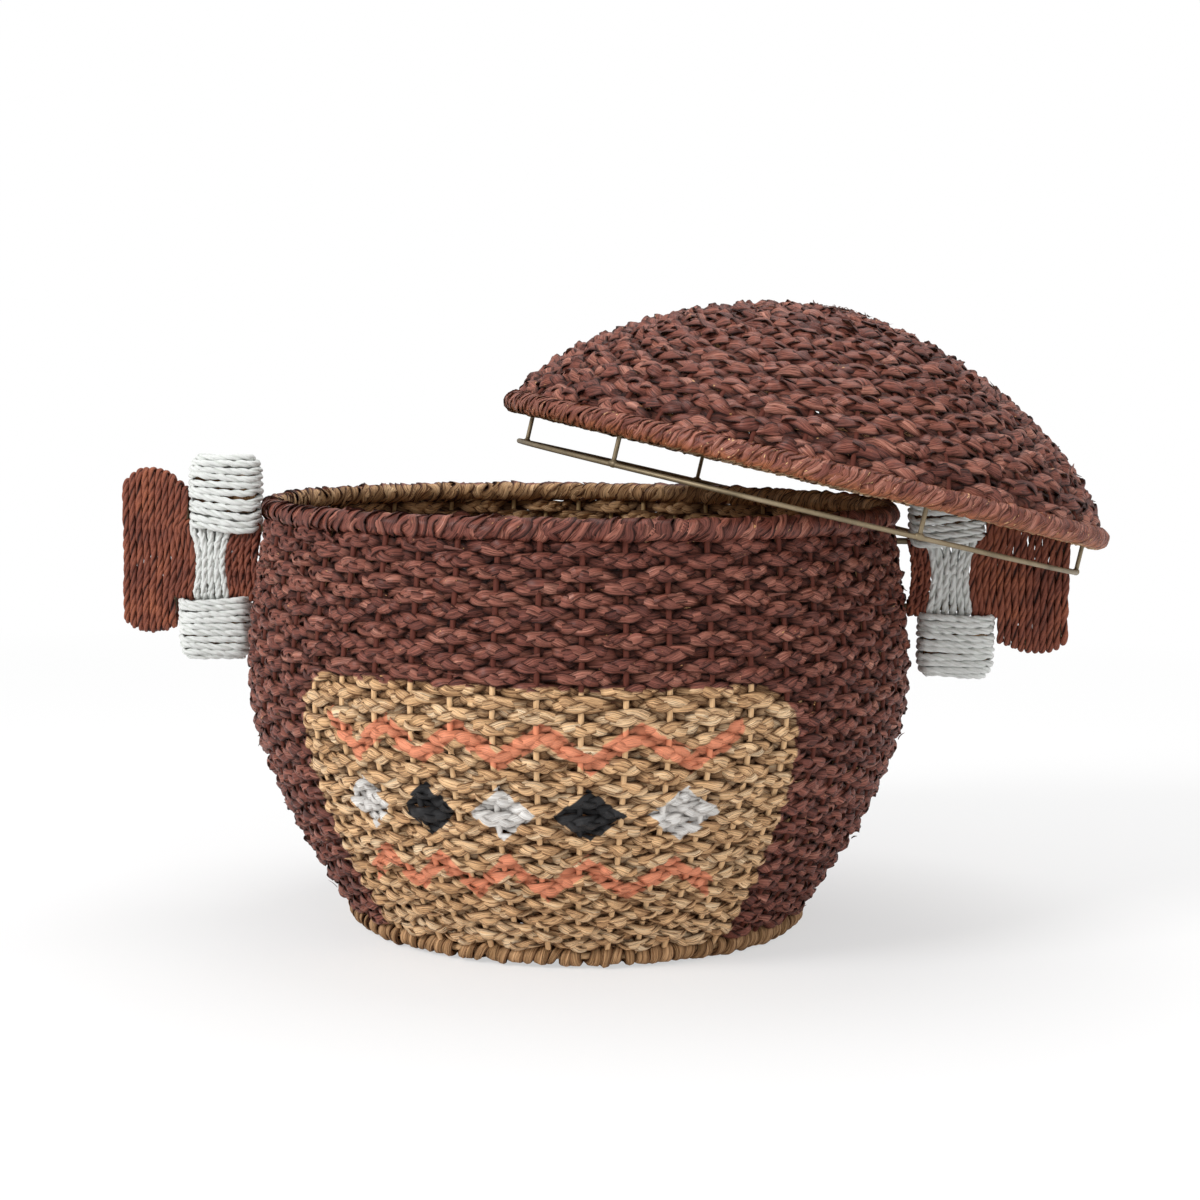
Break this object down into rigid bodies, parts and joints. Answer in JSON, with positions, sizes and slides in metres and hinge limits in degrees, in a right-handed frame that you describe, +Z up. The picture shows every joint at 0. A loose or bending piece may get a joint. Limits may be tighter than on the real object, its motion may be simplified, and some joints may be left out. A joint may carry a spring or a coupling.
{
  "type": "lidded basket",
  "caption": "Round plaited storage basket with a domed lift-off lid, a bare wire locating ring under the lid, and a cord-wound handle with knobs on each side.",
  "frame": {"origin": "centre of the flat face under the basket, on the floor that it stands on", "axes": "+Z up, +X towards the handle that the lid leans on, -Y towards the side that carries the pattern"},
  "size_m": [0.6267, 0.4192, 0.3899],
  "materials": {
    "painted_leaf": "plaited plant leaf under matt brown paint",
    "natural_leaf": "plaited plant leaf, natural and matt",
    "wire": "bare wire with a thin olive lacquer",
    "brown_cord": "twisted paper cord, matt brown",
    "pale_cord": "twisted paper cord, matt white"
  },
  "bodies": {
    "basket": {"woven_wall": "painted_leaf", "basket_wire_frame": "wire", "rim_binding": "painted_leaf", "base_binding": "natural_leaf", "woven_base": "natural_leaf", "left_handle_frame": "wire", "left_inner_wrap": "brown_cord", "left_waist_wrap": "pale_cord", "left_panel_wrap": "brown_cord", "left_top_knob_core": "natural_leaf", "left_top_knob_wrap": "pale_cord", "left_bottom_knob_core": "natural_leaf", "left_bottom_knob_wrap": "pale_cord", "right_handle_frame": "wire", "right_inner_wrap": "brown_cord", "right_waist_wrap": "pale_cord", "right_panel_wrap": "brown_cord", "right_top_knob_core": "natural_leaf", "right_top_knob_wrap": "pale_cord", "right_bottom_knob_core": "natural_leaf", "right_bottom_knob_wrap": "pale_cord"},
    "lid": {"lid_dome": "painted_leaf", "lid_wire_frame": "wire", "lid_binding": "painted_leaf", "locating_ring": "wire", "ring_post_1": "wire", "ring_post_2": "wire", "ring_post_3": "wire", "ring_post_4": "wire", "ring_post_5": "wire", "ring_post_6": "wire"}
  },
  "joints": [
    {"name": "lid_lift", "type": "slide", "parent": "basket", "child": "lid", "axis": [0, 0, 1], "range_m": [0, 0.25]}
  ]
}
